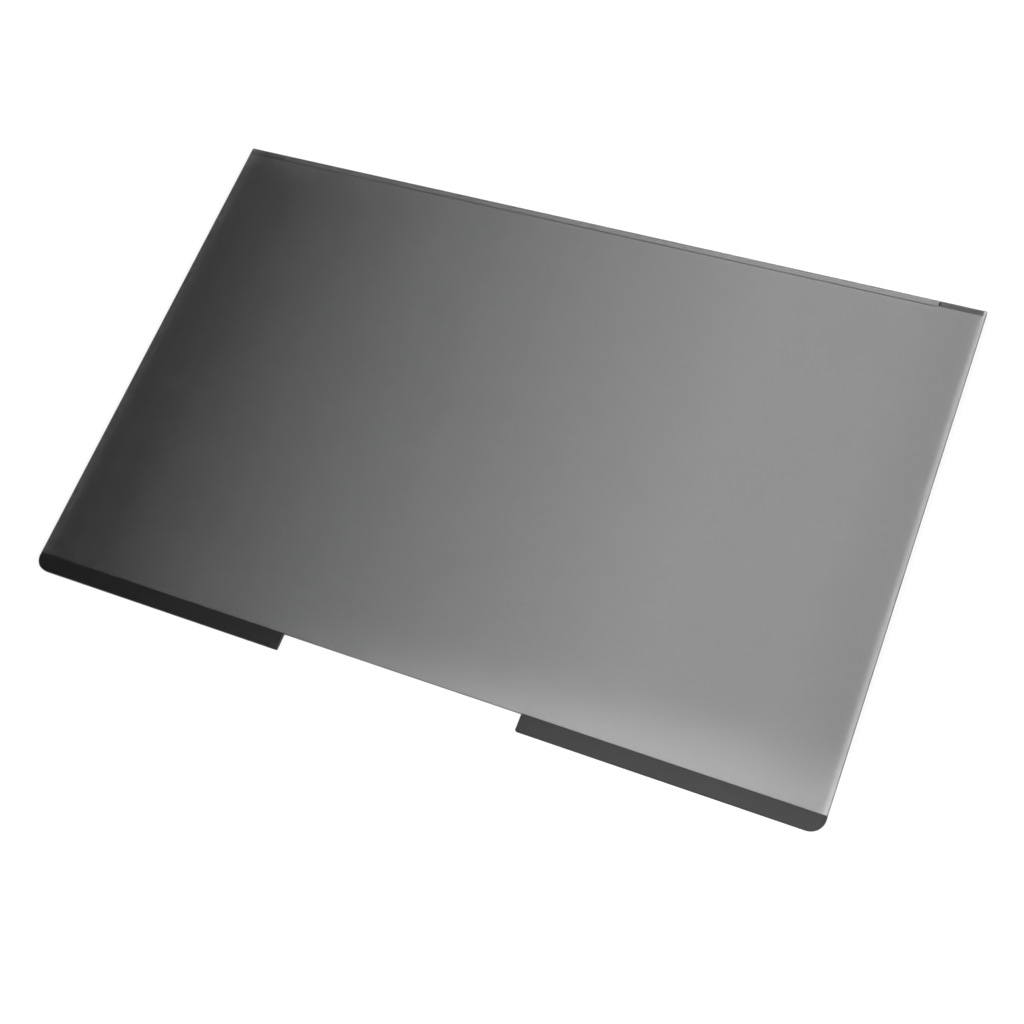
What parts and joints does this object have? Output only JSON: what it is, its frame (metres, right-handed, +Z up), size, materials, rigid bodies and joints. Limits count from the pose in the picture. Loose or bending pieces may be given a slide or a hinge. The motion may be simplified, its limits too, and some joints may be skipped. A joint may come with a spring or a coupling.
{
  "type": "laptop privacy filter",
  "caption": "Thin louvred screen film with dark attachment strips under its ears beside a webcam gap; it darkens the screen for anyone looking from the side.",
  "frame": {"origin": "centre of the outline, on the plane that the strips' undersides lie in", "axes": "+X across the screen's width, +Y from the ears and webcam gap to the plain far edge, +Z up through the film, away from the strips"},
  "size_m": [0.3022, 0.196, 0.0015],
  "materials": {
    "louvre_film": "smoked clear laminate with black micro-louvres, semi-gloss",
    "attachment_strip": "matte dark grey flexible strip",
    "edge_strip": "pale satin strip",
    "corner_pad": "matte grey pad with a dark end"
  },
  "bodies": {
    "root": {"filter_film": "louvre_film", "left_attachment_strip": "attachment_strip", "right_attachment_strip": "attachment_strip", "edge_strip": "edge_strip", "corner_pad": "corner_pad"}
  },
  "joints": []
}
